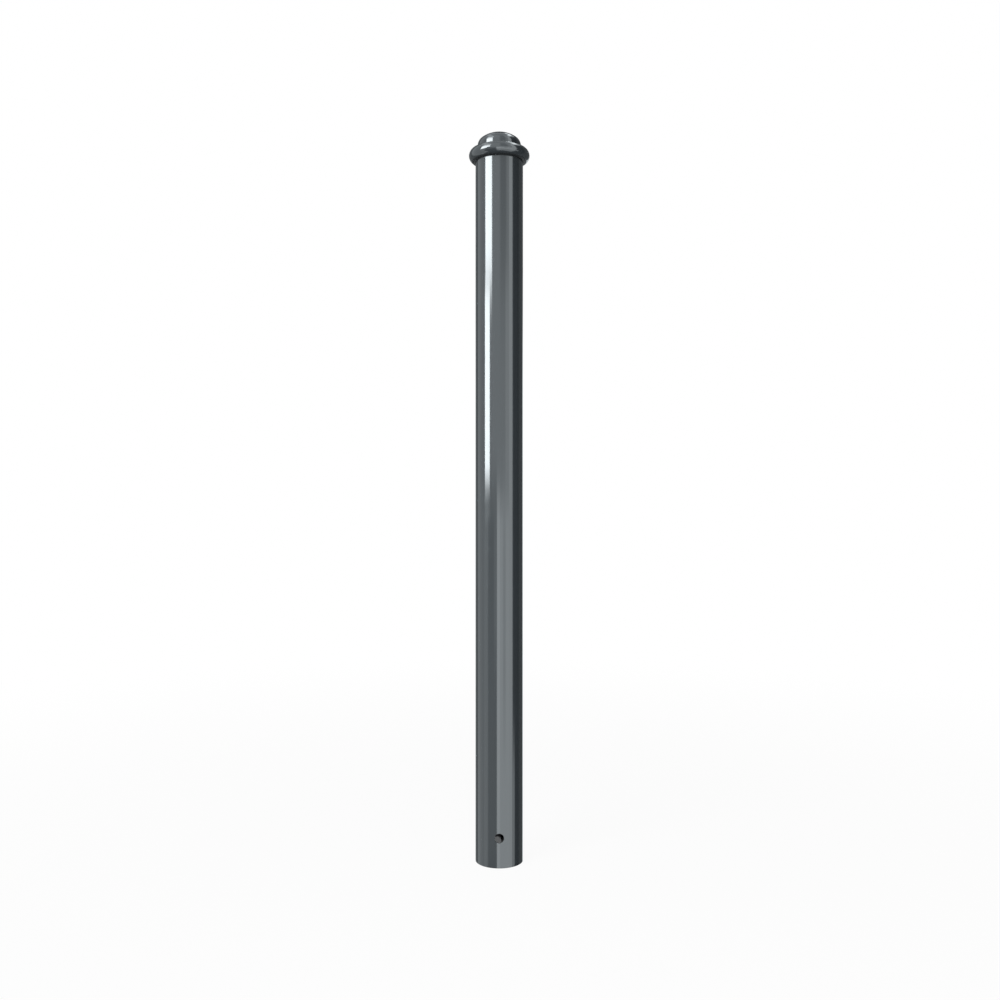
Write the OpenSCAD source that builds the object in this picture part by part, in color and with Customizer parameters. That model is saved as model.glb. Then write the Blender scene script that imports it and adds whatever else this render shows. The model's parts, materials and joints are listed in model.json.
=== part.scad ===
// Street bollard: a round steel tube with a rolled-bar collar and a pressed dome on top, and a hole
// through the tube near its foot for the anchor bar that keys it into its concrete footing.
// Millimetres. The origin is the centre of the tube's foot, +Z is up, and the anchor hole runs along Y.

/* [Tube] */
// Outside diameter of the tube
tube_od = 76.1; // [60.3:0.1:114.3]
// Wall thickness of the tube
tube_wall = 2; // [1.5:0.1:4]
// Length of the tube, from its foot to the collar that stands on it
tube_length = 1119; // [400:1:1500]

/* [Anchor hole] */
// Diameter of the hole, drilled through both walls
anchor_hole_d = 15; // [8:0.5:25]
// Height of the hole's centre above the foot
anchor_hole_height = 47; // [25:1:150]

/* [Collar] */
// Diameter of the round bar that the collar is rolled from
collar_bar_d = 21; // [17:0.5:27]
// Height of the ledge that carries the dome, above the bar's centre
collar_ledge_height = 5; // [3:0.5:6]

/* [Dome] */
// How far the dome's skirt lies inside the tube's outer face
dome_step = 3.35; // [2:0.05:4]
// Thickness of the plate that the dome is pressed from
dome_wall = 3; // [2:0.1:4]
// Height of the straight skirt above the ledge
dome_skirt_height = 11.5; // [7:0.5:30]
// Outside radius of the knuckle that turns the skirt into the crown
dome_knuckle_r = 13; // [8:0.5:16]
// Height of the dome's top above its skirt
dome_rise = 20; // [18:0.5:25]

/* [Fits] */
// Gap between the dome's skirt and the wall of the rebate that it stands in
seat_gap = 0.1; // [0.05:0.05:0.3]
// How far the flat under the collar runs past the tube's wall, inwards and outwards
flat_margin = 0.5; // [0.2:0.1:1]

/* [Hidden] */
$fn = 128;

paint_grey = [0.22, 0.24, 0.25];
cut_past = 1; // how far a cutter runs past the face that it opens

tube_r = tube_od / 2;

// the bar's centre runs over the tube's outer face, and its underside is ground flat to stand on the tube
collar_bar_r = collar_bar_d / 2;
collar_flat_half = tube_wall + flat_margin;
collar_centre_z = tube_length + sqrt(pow(collar_bar_r, 2) - pow(collar_flat_half, 2));
collar_ledge_z = collar_centre_z + collar_ledge_height;

dome_r = tube_r - dome_step;
dome_skirt_z = collar_ledge_z + dome_skirt_height;
dome_knuckle_centre_r = dome_r - dome_knuckle_r;
// radius of the crown that has this rise and runs smoothly into the knuckle
dome_crown_r = (pow(dome_rise, 2) + pow(dome_knuckle_centre_r, 2) - pow(dome_knuckle_r, 2))
    / (2 * (dome_rise - dome_knuckle_r));
// how far the crown's centre lies below the skirt's top
dome_crown_drop = dome_crown_r - dome_rise;
// angle above the horizontal at which knuckle and crown meet
dome_meet_angle = atan2(dome_crown_drop, dome_knuckle_centre_r);

module post_tube() {
    color(paint_grey)
        difference() {
            cylinder(r = tube_r, h = tube_length);
            translate([0, 0, -cut_past])
                cylinder(r = tube_r - tube_wall, h = tube_length + 2 * cut_past);
            translate([0, 0, anchor_hole_height])
                rotate([90, 0, 0])
                    cylinder(d = anchor_hole_d, h = tube_od + 2 * cut_past, center = true);
        }
}

module collar_ring() {
    color(paint_grey)
        difference() {
            translate([0, 0, collar_centre_z])
                rotate_extrude()
                    translate([tube_r, 0])
                        circle(r = collar_bar_r);
            // flat that stands on the tube's end
            translate([0, 0, tube_length - collar_bar_d])
                cylinder(r = tube_r + collar_bar_d, h = collar_bar_d);
            // rebate that takes the dome's skirt
            translate([0, 0, collar_ledge_z])
                cylinder(r = dome_r + seat_gap, h = collar_bar_d);
        }
}

// half section of the dome, solid, with its height measured from the skirt's top; inset moves its face
// inwards and foot_drop moves its foot down
module dome_section(inset, foot_drop) {
    union() {
        translate([0, -dome_skirt_height - foot_drop])
            square([dome_r - inset, dome_skirt_height + foot_drop]);
        translate([dome_knuckle_centre_r, 0])
            intersection() {
                circle(r = dome_knuckle_r - inset);
                square(dome_knuckle_r);
            }
        intersection() {
            translate([0, -dome_crown_drop])
                circle(r = dome_crown_r - inset);
            square([(dome_crown_r - inset) * cos(dome_meet_angle), dome_rise + cut_past]);
        }
    }
}

module dome_cap() {
    color(paint_grey)
        translate([0, 0, dome_skirt_z])
            rotate_extrude()
                difference() {
                    dome_section(0, 0);
                    dome_section(dome_wall, cut_past);
                }
}

post_tube();
collar_ring();
dome_cap();
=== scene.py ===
import json
import math

import bpy
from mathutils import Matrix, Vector


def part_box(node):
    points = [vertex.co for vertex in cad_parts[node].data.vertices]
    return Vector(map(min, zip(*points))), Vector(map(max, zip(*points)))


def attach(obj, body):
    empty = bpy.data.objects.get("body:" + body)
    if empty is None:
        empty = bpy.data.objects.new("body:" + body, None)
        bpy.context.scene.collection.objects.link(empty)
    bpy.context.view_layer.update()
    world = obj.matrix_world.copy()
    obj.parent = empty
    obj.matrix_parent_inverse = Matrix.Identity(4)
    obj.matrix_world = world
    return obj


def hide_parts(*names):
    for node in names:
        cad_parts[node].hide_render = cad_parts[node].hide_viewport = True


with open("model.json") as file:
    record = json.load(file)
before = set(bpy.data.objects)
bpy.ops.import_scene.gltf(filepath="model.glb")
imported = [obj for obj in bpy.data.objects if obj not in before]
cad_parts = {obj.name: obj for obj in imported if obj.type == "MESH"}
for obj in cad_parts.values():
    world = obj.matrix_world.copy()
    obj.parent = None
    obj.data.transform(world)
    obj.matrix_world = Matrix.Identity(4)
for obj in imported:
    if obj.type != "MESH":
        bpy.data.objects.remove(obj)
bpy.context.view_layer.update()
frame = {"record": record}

MM = 0.001

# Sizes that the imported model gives: the tube, the collar round its top and the dome that stands in the collar.
tube_low, tube_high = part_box("post_tube")
collar_low, collar_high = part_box("collar_ring")
dome_low, dome_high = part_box("dome_cap")
anchor_mount = next(m for m in frame["record"]["mounts"] if m["name"] == "anchor_bar_hole")
paint_slot = frame["record"]["materials"][0]

TUBE_R = tube_high.x
TUBE_TOP = tube_high.z
TUBE_WALL = 2.0 * MM
HOLE_R = anchor_mount["dims"]["r_mm"] * MM
HOLE_Z = anchor_mount["pos_m"][2]
BAR_R = collar_high.x - TUBE_R
BAR_Z = collar_high.z - BAR_R
DOME_R = dome_high.x
LEDGE_Z = dome_low.z
DOME_TOP = dome_high.z

# Sizes of the dome's shape and of the small edges.
SEAT_GAP = 0.1 * MM
SKIRT_TOP = LEDGE_Z + 11.5 * MM
KNUCKLE_R = 13.0 * MM
DOME_WALL = 3.0 * MM
SOFT_EDGE = 0.35 * MM
ROUND_SIDES = 256
WELD_SEAM_PROUD = 0.35 * MM
CUT_NEAR = 0.001 * MM

EYE = Vector((0.0, -1.603, 0.575))
LENS_MM = 35.957
SENSOR_MM = 36.0
ROOM_R = 60.0


# ---------------------------------------------------------------- modelling by hand

def nothing_selected():
    if bpy.context.mode != "OBJECT":
        bpy.ops.object.mode_set(mode="OBJECT")
    bpy.ops.object.select_all(action="DESELECT")


def named(name):
    piece = bpy.context.object
    piece.name = name
    piece.data.name = name
    return piece


def start_edit(kind):
    bpy.ops.object.mode_set(mode="EDIT")
    bpy.ops.mesh.select_mode(type=kind)
    bpy.ops.mesh.select_all(action="DESELECT")


def pick_vertices(piece, wanted):
    """Selects the vertices whose place passes the test."""
    bpy.ops.mesh.select_mode(type="VERT")
    bpy.ops.mesh.select_all(action="DESELECT")
    bpy.ops.object.mode_set(mode="OBJECT")
    for vertex in piece.data.vertices:
        vertex.select = wanted(vertex.co)
    bpy.ops.object.mode_set(mode="EDIT")


def pick_edges(piece, wanted):
    """Selects the edges both of whose ends pass the test."""
    bpy.ops.mesh.select_mode(type="EDGE")
    bpy.ops.mesh.select_all(action="DESELECT")
    bpy.ops.object.mode_set(mode="OBJECT")
    places = [vertex.co for vertex in piece.data.vertices]
    for edge in piece.data.edges:
        edge.select = all(wanted(places[end]) for end in edge.vertices)
    bpy.ops.object.mode_set(mode="EDIT")


def pick_faces(piece, wanted):
    """Selects the faces whose centre and normal pass the test."""
    bpy.ops.mesh.select_mode(type="FACE")
    bpy.ops.mesh.select_all(action="DESELECT")
    bpy.ops.object.mode_set(mode="OBJECT")
    for face in piece.data.polygons:
        face.select = wanted(face.center, face.normal)
    bpy.ops.object.mode_set(mode="EDIT")


def cut_all(height):
    """Adds a level ring of edges at a height."""
    bpy.ops.mesh.select_all(action="SELECT")
    bpy.ops.mesh.bisect(plane_co=(0, 0, height), plane_no=(0, 0, 1), threshold=CUT_NEAR)


def close_shell():
    bpy.ops.mesh.select_all(action="SELECT")
    bpy.ops.mesh.remove_doubles(threshold=0.01 * MM)
    bpy.ops.mesh.normals_make_consistent(inside=False)


def thicken(piece, wall):
    solid = piece.modifiers.new("wall", "SOLIDIFY")
    solid.thickness = wall
    solid.offset = -1
    solid.use_even_offset = True
    bpy.ops.object.modifier_apply(modifier=solid.name)


def finish_smooth(angle_degrees):
    bpy.ops.object.shade_smooth_by_angle(angle=math.radians(angle_degrees))


def even_shading(piece):
    """Lets the broad faces set the shading, so that an eased rim doesn't tint the wall beside it."""
    weighted = piece.modifiers.new("even_shading", "WEIGHTED_NORMAL")
    weighted.keep_sharp = True
    weighted.weight = 100
    bpy.ops.object.modifier_apply(modifier=weighted.name)


def cut_away(piece, cutter):
    """Takes the cutter out of the piece and removes the cutter."""
    nothing_selected()
    bpy.context.view_layer.objects.active = piece
    piece.select_set(True)
    cut = piece.modifiers.new("cut", "BOOLEAN")
    cut.operation = "DIFFERENCE"
    cut.solver = "EXACT"
    cut.object = cutter
    bpy.ops.object.modifier_apply(modifier=cut.name)
    bpy.data.objects.remove(cutter)


def radius_at(place):
    return math.hypot(place.x, place.y)


def make_hole_cutter():
    """A round bar through both walls, where the anchor bar goes."""
    nothing_selected()
    bpy.ops.mesh.primitive_cylinder_add(
        vertices=64, radius=HOLE_R, depth=TUBE_R * 3, location=(0, 0, HOLE_Z), rotation=(math.pi / 2, 0, 0)
    )
    cutter = named("anchor_hole_cutter")
    bpy.ops.object.transform_apply(location=True, rotation=True, scale=True)
    return cutter


def make_post_tube():
    """The tube: a rolled wall with its weld seam inside, the anchor hole through it, and eased edges."""
    nothing_selected()
    bpy.ops.mesh.primitive_cylinder_add(
        vertices=ROUND_SIDES, radius=TUBE_R, depth=TUBE_TOP, end_fill_type="NOTHING", location=(0, 0, TUBE_TOP / 2)
    )
    tube = named("post_tube_wall")
    bpy.ops.object.transform_apply(location=True, rotation=True, scale=True)
    start_edit("VERT")
    for height in (2 * MM, HOLE_Z - 2 * HOLE_R, HOLE_Z + 2 * HOLE_R, 0.25, 0.5, 0.75, 1.0):
        cut_all(height)
    bpy.ops.object.mode_set(mode="OBJECT")
    thicken(tube, TUBE_WALL)
    raise_weld_seam(tube)
    cut_away(tube, make_hole_cutter())
    ease_tube_edges(tube)
    finish_smooth(38)
    even_shading(tube)
    return tube


def raise_weld_seam(tube):
    """The slim bead that the tube mill leaves along the inside, at the back left."""
    seam_turn = math.radians(130)
    half_width = 1.2 * MM / (TUBE_R - TUBE_WALL)

    def on_seam(centre, normal):
        inside = radius_at(centre) < TUBE_R - TUBE_WALL * 0.6 and abs(normal.z) < 0.5
        return inside and abs(math.atan2(centre.y, centre.x) - seam_turn) < half_width

    start_edit("FACE")
    pick_faces(tube, on_seam)
    inward = (-math.cos(seam_turn) * WELD_SEAM_PROUD, -math.sin(seam_turn) * WELD_SEAM_PROUD, 0)
    bpy.ops.mesh.extrude_region_move(TRANSFORM_OT_translate={"value": inward})
    bpy.ops.object.mode_set(mode="OBJECT")


def ease_tube_edges(tube):
    """Rounds the foot's two rims and the outer rim of each anchor hole."""
    near = 0.02 * MM

    def on_foot_rim(place):
        r = radius_at(place)
        return place.z < near and (abs(r - TUBE_R) < near or abs(r - TUBE_R + TUBE_WALL) < near)

    def on_hole_rim(place):
        from_axis = math.hypot(place.x, place.z - HOLE_Z)
        return abs(from_axis - HOLE_R) < near and abs(radius_at(place) - TUBE_R) < near

    start_edit("VERT")
    pick_vertices(tube, lambda place: math.hypot(place.x, place.z - HOLE_Z) < HOLE_R + near)
    bpy.ops.mesh.remove_doubles(threshold=0.1 * MM)
    pick_edges(tube, on_foot_rim)
    bpy.ops.mesh.bevel(offset=SOFT_EDGE, segments=3, affect="EDGES")
    pick_edges(tube, on_hole_rim)
    bpy.ops.mesh.bevel(offset=SOFT_EDGE * 0.6, segments=2, affect="EDGES", clamp_overlap=True)
    bpy.ops.mesh.select_all(action="SELECT")
    bpy.ops.mesh.remove_doubles(threshold=0.02 * MM)
    bpy.ops.object.mode_set(mode="OBJECT")


def spin_round(piece):
    """Turns the drawn section once round the post's axis and closes it."""
    bpy.ops.mesh.select_all(action="SELECT")
    bpy.ops.mesh.spin(steps=ROUND_SIDES, angle=math.tau, center=(0, 0, 0), axis=(0, 0, 1))
    close_shell()
    bpy.ops.object.mode_set(mode="OBJECT")


def make_collar_ring():
    """The collar: a round bar's section with a flat ground under it and a corner turned out for the dome."""
    nothing_selected()
    bpy.ops.mesh.primitive_circle_add(
        vertices=96, radius=BAR_R, location=(TUBE_R, 0, BAR_Z), rotation=(math.pi / 2, 0, 0)
    )
    ring = named("collar_bar_ring")
    bpy.ops.object.transform_apply(location=True, rotation=True, scale=True)
    rebate_r = DOME_R + SEAT_GAP
    start_edit("VERT")
    bpy.ops.mesh.select_all(action="SELECT")
    bpy.ops.mesh.bisect(plane_co=(0, 0, TUBE_TOP), plane_no=(0, 0, 1), clear_inner=True, threshold=CUT_NEAR)
    pick_vertices(ring, lambda place: place.z < TUBE_TOP + 0.01 * MM)
    bpy.ops.mesh.edge_face_add()
    cut_all(LEDGE_Z)
    bpy.ops.mesh.select_all(action="SELECT")
    bpy.ops.mesh.bisect(plane_co=(rebate_r, 0, 0), plane_no=(1, 0, 0), threshold=CUT_NEAR)
    near = 0.01 * MM
    pick_vertices(ring, lambda place: place.x < rebate_r - near and place.z > LEDGE_Z + near)
    bpy.ops.mesh.delete(type="VERT")
    turn_out_corner(ring, rebate_r)
    soften_section(ring, rebate_r)
    spin_round(ring)
    finish_smooth(40)
    return ring


def turn_out_corner(ring, rebate_r):
    """Draws the ledge and the upright wall where the corner was taken out."""
    near = 0.01 * MM
    pick_vertices(ring, lambda place: abs(place.z - LEDGE_Z) < near and place.x < rebate_r)
    ledge_end = min(vertex.co.x for vertex in ring.data.vertices if abs(vertex.co.z - LEDGE_Z) < near)
    bpy.ops.mesh.extrude_region_move(TRANSFORM_OT_translate={"value": (rebate_r - ledge_end, 0, 0)})
    pick_vertices(ring, lambda place: abs(place.x - rebate_r) < near and place.z > LEDGE_Z - near)
    bpy.ops.mesh.edge_face_add()


def soften_section(ring, rebate_r):
    near = 0.02 * MM
    bar_centre = Vector((TUBE_R, 0, BAR_Z))
    flat_half = math.sqrt(BAR_R ** 2 - (BAR_Z - TUBE_TOP) ** 2)
    ledge_start = TUBE_R - math.sqrt(BAR_R ** 2 - (LEDGE_Z - BAR_Z) ** 2)

    def sharp(place):
        on_bar = abs((place - bar_centre).length - BAR_R) < near
        under = abs(place.z - TUBE_TOP) < near and abs(abs(place.x - TUBE_R) - flat_half) < near
        over = abs(place.x - rebate_r) < near or abs(place.x - ledge_start) < near
        return under or (on_bar and over and place.z > LEDGE_Z - near)

    pick_vertices(ring, sharp)
    bpy.ops.mesh.bevel(offset=SOFT_EDGE, segments=3, affect="VERTICES")


def make_dome_cap():
    """The dome: an upright skirt, a tight knuckle and a shallow crown, drawn as one line and turned."""
    rise = DOME_TOP - SKIRT_TOP
    knuckle_x = DOME_R - KNUCKLE_R
    crown_r = (rise ** 2 + knuckle_x ** 2 - KNUCKLE_R ** 2) / (2 * (rise - KNUCKLE_R))
    crown_drop = crown_r - rise
    meet = math.atan2(crown_drop, knuckle_x)
    nothing_selected()
    bpy.ops.mesh.primitive_circle_add(vertices=3, radius=1 * MM, location=(DOME_R, 0, LEDGE_Z))
    dome = named("domed_cap_shell")
    bpy.ops.object.transform_apply(location=True, rotation=True, scale=True)
    start_edit("VERT")
    bpy.ops.mesh.select_all(action="SELECT")
    bpy.ops.mesh.merge(type="CENTER")
    bpy.ops.mesh.extrude_region_move(TRANSFORM_OT_translate={"value": (0, 0, SKIRT_TOP - LEDGE_Z)})
    bpy.ops.mesh.spin(steps=20, angle=meet, center=(knuckle_x, 0, SKIRT_TOP), axis=(0, 1, 0))
    bpy.ops.mesh.spin(
        steps=28, angle=math.pi / 2 - meet, center=(0, 0, SKIRT_TOP - crown_drop), axis=(0, 1, 0)
    )
    spin_round(dome)
    thicken(dome, DOME_WALL)
    start_edit("EDGE")
    near = 0.02 * MM
    pick_edges(dome, lambda place: place.z < LEDGE_Z + near and radius_at(place) > DOME_R - near)
    bpy.ops.mesh.bevel(offset=SOFT_EDGE, segments=2, affect="EDGES")
    bpy.ops.object.mode_set(mode="OBJECT")
    finish_smooth(35)
    return dome


# ---------------------------------------------------------------- shader maths

class Sum:
    """A shader value. Python's operators on it add Math nodes."""

    def __init__(self, tree, socket):
        self.tree = tree
        self.socket = socket

    def make(self, kind, settings=None, **inputs):
        """Adds a node: its type, its settings first, then what its sockets are given."""
        node = self.tree.nodes.new(kind)
        for name, value in (settings or {}).items():
            setattr(node, name, value)
        for name, value in inputs.items():
            socket = node.inputs[int(name[1:])] if name[1:].isdigit() else node.inputs[name.replace("_", " ")]
            if isinstance(value, Sum):
                self.tree.links.new(value.socket, socket)
            else:
                socket.default_value = value
        return node

    def out(self, node, output=0):
        return Sum(self.tree, node.outputs[output])

    def maths(self, operation, *values, clamp=False):
        given = {"_%d" % place: value for place, value in enumerate(values)}
        return self.out(self.make("ShaderNodeMath", {"operation": operation, "use_clamp": clamp}, **given))

    def __add__(self, other):
        return self.maths("ADD", self, other)

    __radd__ = __add__

    def __sub__(self, other):
        return self.maths("SUBTRACT", self, other)

    def __rsub__(self, other):
        return self.maths("SUBTRACT", other, self)

    def __mul__(self, other):
        return self.maths("MULTIPLY", self, other)

    __rmul__ = __mul__

    def __truediv__(self, other):
        return self.maths("DIVIDE", self, other)

    def __rtruediv__(self, other):
        return self.maths("DIVIDE", other, self)

    def __neg__(self):
        return self * -1.0

    def __abs__(self):
        return self.maths("ABSOLUTE", self)

    def step(self, low, high):
        """0 below low, 1 above high, and a smooth rise between."""
        settings = {"interpolation_type": "SMOOTHSTEP"}
        return self.out(self.make("ShaderNodeMapRange", settings, _0=self, _1=low, _2=high, _3=0.0, _4=1.0))

    def noise(self, where, scale, detail=2.0):
        return self.out(self.make("ShaderNodeTexNoise", None, Vector=where, Scale=scale, Detail=detail))

    def tint(self, first, second):
        """Goes from the first colour to the second as this value goes from 0 to 1."""
        node = self.make("ShaderNodeMix", {"data_type": "RGBA"}, _0=self, _6=first, _7=second)
        return self.out(node, 2)


def new_material(name):
    material = bpy.data.materials.new(name)
    material.use_nodes = True
    material.node_tree.nodes.clear()
    return material, Sum(material.node_tree, None)


def object_place(kit):
    """The place on the piece in metres, and its x, y and z."""
    place = Sum(kit.tree, kit.make("ShaderNodeTexCoord").outputs["Object"])
    parts = kit.make("ShaderNodeSeparateXYZ", None, Vector=place)
    return place, [Sum(kit.tree, parts.outputs[axis]) for axis in range(3)]


def show_surface(kit, shader):
    output = kit.make("ShaderNodeOutputMaterial")
    kit.tree.links.new(shader.outputs[0], output.inputs["Surface"])


def shaded(colour, factor):
    return tuple(part * factor for part in colour) + (1.0,)


def anthracite_gloss_paint():
    """Anthracite gloss coat: cloudy depth, fine orange peel, the tube's slow unevenness, thin paint on cut rims,
    and a painted shade: a near-black line in the joint under the collar."""
    material, kit = new_material("anthracite_gloss_paint")
    place, (x, y, z) = object_place(kit)
    colour = paint_slot["base_color"]
    cloud = kit.noise(place, 14.0, 3.0)
    fleck = kit.noise(place, 900.0, 2.0)
    shade = cloud.tint(shaded(colour, 0.93), shaded(colour, 1.07))
    shade = (fleck.step(0.62, 0.78) * 0.25).tint(shade, shaded(colour, 1.35))
    from_hole = (x * x + (z - HOLE_Z) * (z - HOLE_Z)).maths("SQRT", x * x + (z - HOLE_Z) * (z - HOLE_Z))
    hole_rim = 1 - from_hole.step(HOLE_R + 0.1 * MM, HOLE_R + 0.7 * MM)
    foot_rim = 1 - z.step(0.1 * MM, 1.2 * MM)
    chip = kit.noise(place, 420.0, 4.0).step(0.42, 0.60)
    thin = hole_rim.maths("MAXIMUM", hole_rim, foot_rim) * chip
    shade = (thin * 0.5).tint(shade, (0.11, 0.115, 0.12, 1.0))
    # Painted shade: near the collar joint the paint turns near-black and loses its coat and gloss, standing in for the
    # shade under the collar.
    joint_shade = 1 - abs(z - TUBE_TOP).step(0.7 * MM, 1.9 * MM)
    shade = (joint_shade * 0.85).tint(shade, (0.010, 0.011, 0.012, 1.0))
    dust = kit.noise(place, 55.0, 5.0).step(0.45, 0.75)
    slow = kit.make(
        "ShaderNodeMapping", {"vector_type": "POINT"}, Vector=place, Scale=Vector((9.0, 9.0, 13.0))
    )
    unevenness = kit.noise(kit.out(slow), 1.0, 1.0)
    peel = kit.noise(place, 420.0, 1.0)
    waves = kit.make("ShaderNodeBump", None, Strength=1.0, Distance=0.55 * MM, Height=unevenness)
    skin = kit.make("ShaderNodeBump", None, Strength=1.0, Distance=0.006 * MM, Height=peel, Normal=kit.out(waves))
    surface = kit.make(
        "ShaderNodeBsdfPrincipled", None,
        Base_Color=shade, Roughness=0.10 + dust * 0.05 + thin * 0.2 + joint_shade * 0.5, Metallic=0.0, IOR=1.5,
        Coat_Weight=1 - (thin * 0.7 + joint_shade * 0.95), Coat_Roughness=0.03, Coat_IOR=1.6, Normal=kit.out(skin),
    )
    show_surface(kit, surface)
    return material


def zinc_inside():
    """The tube's inside: dull zinc with a blotchy skin and a fine spangle."""
    material, kit = new_material("dull_zinc_inside")
    place, (x, y, z) = object_place(kit)
    cells = kit.out(kit.make("ShaderNodeTexVoronoi", None, Vector=place, Scale=160.0), 1)
    spangle = kit.out(kit.make("ShaderNodeRGBToBW", None, Color=cells))
    blotch = kit.noise(place, 30.0, 4.0)
    tone = spangle * 0.4 + blotch * 0.6
    shade = tone.tint((0.28, 0.29, 0.30, 1.0), (0.46, 0.47, 0.48, 1.0))
    grain = kit.make("ShaderNodeBump", None, Strength=0.5, Distance=0.03 * MM, Height=kit.noise(place, 800.0, 3.0))
    surface = kit.make(
        "ShaderNodeBsdfPrincipled", None,
        Base_Color=shade, Roughness=0.72 + spangle * 0.15, Metallic=0.0, Specular_IOR_Level=0.1, Normal=kit.out(grain),
    )
    show_surface(kit, surface)
    return material


# ---------------------------------------------------------------- studio

# The studio's light panels as the gloss shows them: azimuth from and to, elevation from and to, in degrees, level,
# and how many degrees each edge takes. Azimuth 0 is the camera's side, and a positive one is to its right.
PANELS = (
    ("left_wall", -124, -68, -52, 54, 0.68, 6.0),
    ("front_wall", -34, 52, 0.0, 58, 1.05, 4.0),
    ("grey_middle_high", 4, 34, 13, 64, 0.60, 12.0),
    ("front_right", 30, 50, 0.0, 13, 1.40, 6.0),
    ("light_strip_right", 48, 65, -40, 48, 1.75, 4.0),
    ("pale_panel_low", -11, 50, -30, 0.0, 1.85, 3.0),
    ("pale_panel_left", -11, 3, -28, 0.0, 2.20, 4.0),
    ("pale_panel_seam", 18, 31, -13, 0.0, 1.45, 8.0),
    ("pale_panel_lowest", -11, 66, -62, -30, 1.20, 8.0),
    ("left_wall_low", -70, -12, -40, 0.5, 0.45, 6.0),
    ("left_wall_low_edge", -78, -56, -40, 0.5, 0.85, 6.0),
    ("grey_edge_low", -25, -12, -9, 0.0, 0.70, 5.0),
    ("low_shadow", -62, -12, -60, -22, 0.10, 6.0),
    ("under_shadow", -180, 180, -90, -58, 0.03, 9.0),
    ("right_flag", 69, 112, -70, 48, 0.02, 4.0),
    ("right_far_wall", 110, 156, -70, 48, 0.10, 6.0),
    ("right_foot_glow", 66, 80, -26, -14, 1.0, 5.0),
    ("back_left_flag", -172, -124, -70, 56, 0.18, 6.0),
    ("behind_high_right", 144, 190, 10, 66, 0.12, 8.0),
    ("behind_high_left", -190, -165, 10, 66, 0.12, 8.0),
    ("ceiling", -180, 180, 66, 90, 0.65, 6.0),
    ("high_left_glow", -95, -50, 54, 64, 2.2, 6.0),
    ("left_softbox", -70.5, -35.5, 12.5, 30, 10.3, 5.0),
    ("left_softbox_high", -72, -36, 29, 47, 5.0, 6.0),
    ("left_softbox_low", -73, -47, 1.2, 12.5, 10.3, 2.5),
    ("overhead_lamp", 72, 164, 56, 65, 3.8, 3.0),
)


COOL_WHITE = (0.93, 1.0, 1.03, 1.0)


def panel_mask(kit, azimuth, elevation, panel):
    name, turn_from, turn_to, low, high, level, edge = panel
    half = edge / 2
    mask = elevation.step(low - half, low + half) * (1 - elevation.step(high - half, high + half))
    if turn_to - turn_from < 359:
        left = azimuth.step(turn_from - half, turn_from + half)
        right = 1 - azimuth.step(turn_to - half, turn_to + half)
        mask = mask * left * right
    return mask


def studio_panels():
    """White all round, with each panel laid over the ones before it."""
    material, kit = new_material("studio_light_panels")
    place, (x, y, z) = object_place(kit)
    flat = (x * x + y * y).maths("SQRT", x * x + y * y)
    azimuth = x.maths("ARCTAN2", x, -y) * math.degrees(1)
    elevation = z.maths("ARCTAN2", z, flat) * math.degrees(1)
    level = 1.0
    for panel in PANELS:
        mask = panel_mask(kit, azimuth, elevation, panel)
        level = level * (1 - mask) + mask * panel[5]
    glow = kit.make("ShaderNodeEmission", None, Color=COOL_WHITE, Strength=level)
    show_surface(kit, glow)
    material.cycles.emission_sampling = "NONE"
    return material


def make_studio_room():
    """The round studio that the gloss mirrors. It casts no light on the paint's own colour."""
    nothing_selected()
    bpy.ops.mesh.primitive_uv_sphere_add(segments=48, ring_count=24, radius=ROOM_R, location=(0, 0, EYE.z))
    room = named("studio_room")
    room.data.materials.append(studio_panels())
    for ray in ("camera", "diffuse", "transmission", "volume_scatter", "shadow"):
        setattr(room, "visible_" + ray, False)


def shows_white(kit):
    """1 for the rays that see the background, and 0 for those that light the object."""
    rays = kit.make("ShaderNodeLightPath")
    seen = [Sum(kit.tree, rays.outputs[name]) for name in ("Is Camera Ray", "Is Glossy Ray", "Is Transmission Ray")]
    either = seen[0].maths("MAXIMUM", seen[0], seen[1])
    return either.maths("MAXIMUM", either, seen[2])


def pale_floor():
    """White floor that keeps a soft shadow close to the post and runs out to plain white."""
    material, kit = new_material("pale_floor")
    place, (x, y, z) = object_place(kit)
    flat = (x * x + y * y).maths("SQRT", x * x + y * y)
    share = 0.94 + flat.step(0.25, 2.2) * 0.06
    board = kit.make("ShaderNodeBsdfDiffuse", None, Color=(0.78, 0.78, 0.78, 1.0))
    white = kit.make("ShaderNodeEmission", None, Strength=1.0)
    blend = kit.make("ShaderNodeMixShader", None, Fac=share * shows_white(kit))
    kit.tree.links.new(board.outputs[0], blend.inputs[1])
    kit.tree.links.new(white.outputs[0], blend.inputs[2])
    show_surface(kit, blend)
    return material


def make_floor():
    nothing_selected()
    bpy.ops.mesh.primitive_plane_add(size=600, location=(0, 0, 0))
    floor = named("studio_floor")
    floor.data.materials.append(pale_floor())
    floor.visible_glossy = False


def light_the_world():
    world = bpy.data.worlds.new("white_studio")
    world.use_nodes = True
    world.node_tree.nodes.clear()
    kit = Sum(world.node_tree, None)
    strength = AMBIENT + shows_white(kit) * (1.0 - AMBIENT)
    glow = kit.make("ShaderNodeBackground", None, Color=(1.0, 1.0, 1.0, 1.0), Strength=strength)
    output = kit.make("ShaderNodeOutputWorld")
    kit.tree.links.new(glow.outputs[0], output.inputs["Surface"])
    world.cycles.sampling_method = "NONE"
    bpy.context.scene.world = world


AMBIENT = 0.33
KEY_LEVEL = 0.45
PEEP_LEVEL = 0.30


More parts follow.
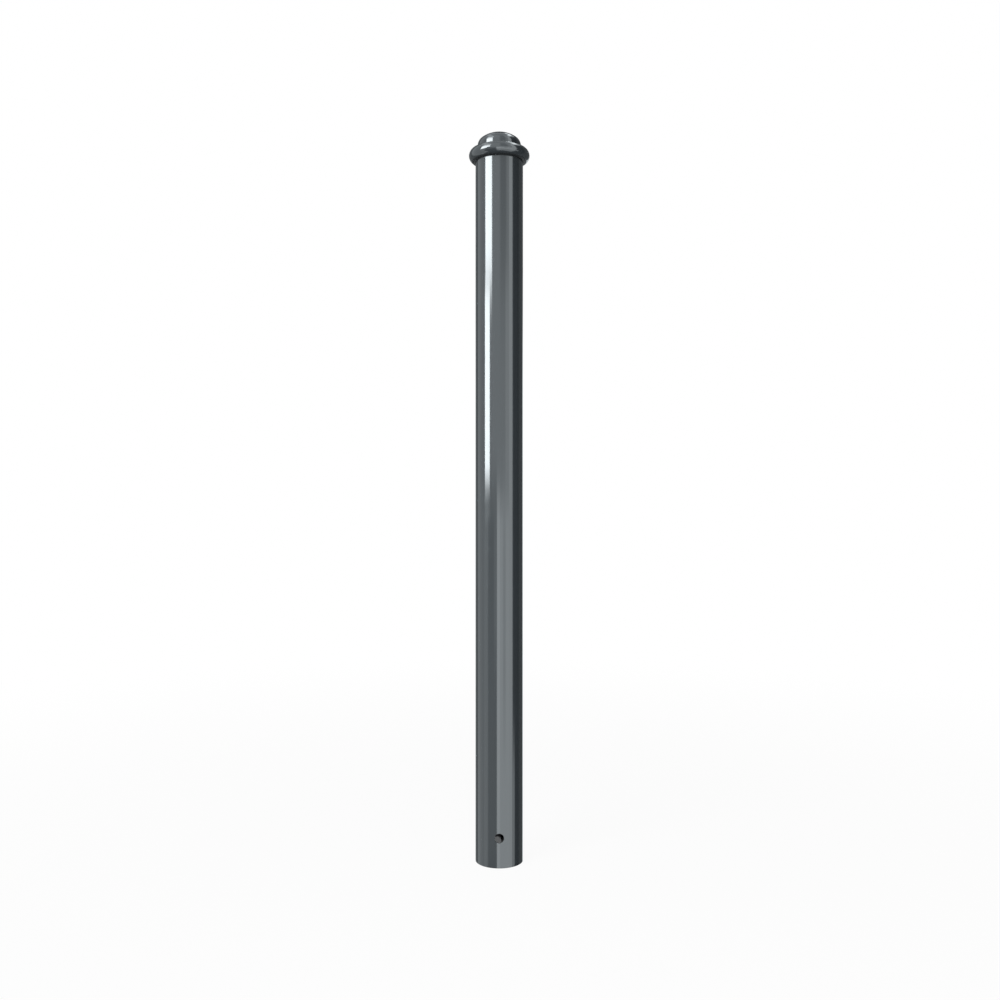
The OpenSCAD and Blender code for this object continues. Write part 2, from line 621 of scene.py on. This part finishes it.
def area_lamp(name, place, towards, size, level):
    """A square lamp that lights a surface facing it to the given level, where 1 shows white as white."""
    nothing_selected()
    away = (Vector(towards) - Vector(place))
    turn = away.to_track_quat("-Z", "Y").to_euler()
    bpy.ops.object.light_add(type="AREA", location=place, rotation=turn)
    lamp = bpy.context.object
    lamp.name = name
    lamp.data.shape = "DISK"
    lamp.data.size = size
    lamp.data.energy = level * math.pi * math.pi * away.length ** 2
    lamp.visible_glossy = False
    lamp.visible_camera = False
    return lamp


def make_lights():
    light_the_world()
    area_lamp("key_lamp", (-2.2, -2.4, 4.2), (0, 0, 0.5), 2.4, KEY_LEVEL)
    area_lamp("peep_lamp", (0.090, EYE.y, 0.665), (0, 0, HOLE_Z), 0.04, PEEP_LEVEL)


def make_camera():
    nothing_selected()
    bpy.ops.object.camera_add(location=EYE, rotation=(math.pi / 2, 0, 0))
    camera = bpy.context.object
    camera.name = "studio_camera"
    camera.data.lens = LENS_MM
    camera.data.sensor_width = SENSOR_MM
    camera.data.shift_x = 0.00074
    camera.data.shift_y = 0.0016
    camera.data.clip_end = 2000
    bpy.context.scene.camera = camera


# ---------------------------------------------------------------- the bollard

def finish_piece(piece, node, *materials):
    piece.data.materials.clear()
    for material in materials:
        piece.data.materials.append(material)
    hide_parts(node)
    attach(piece, "root")


def paint_inside(tube):
    """Gives the tube's inner wall the second material."""
    start_edit("FACE")
    pick_faces(tube, lambda centre, normal: radius_at(centre) < TUBE_R - TUBE_WALL * 0.8 and abs(normal.z) < 0.5)
    tube.active_material_index = 1
    bpy.ops.object.material_slot_assign()
    bpy.ops.object.mode_set(mode="OBJECT")


make_camera()
paint = anthracite_gloss_paint()
zinc = zinc_inside()
post_tube = make_post_tube()
finish_piece(post_tube, "post_tube", paint, zinc)
nothing_selected()
bpy.context.view_layer.objects.active = post_tube
post_tube.select_set(True)
paint_inside(post_tube)
finish_piece(make_collar_ring(), "collar_ring", paint)
finish_piece(make_dome_cap(), "dome_cap", paint)
make_floor()
make_studio_room()
make_lights()

bpy.context.scene.view_settings.view_transform = "Standard"
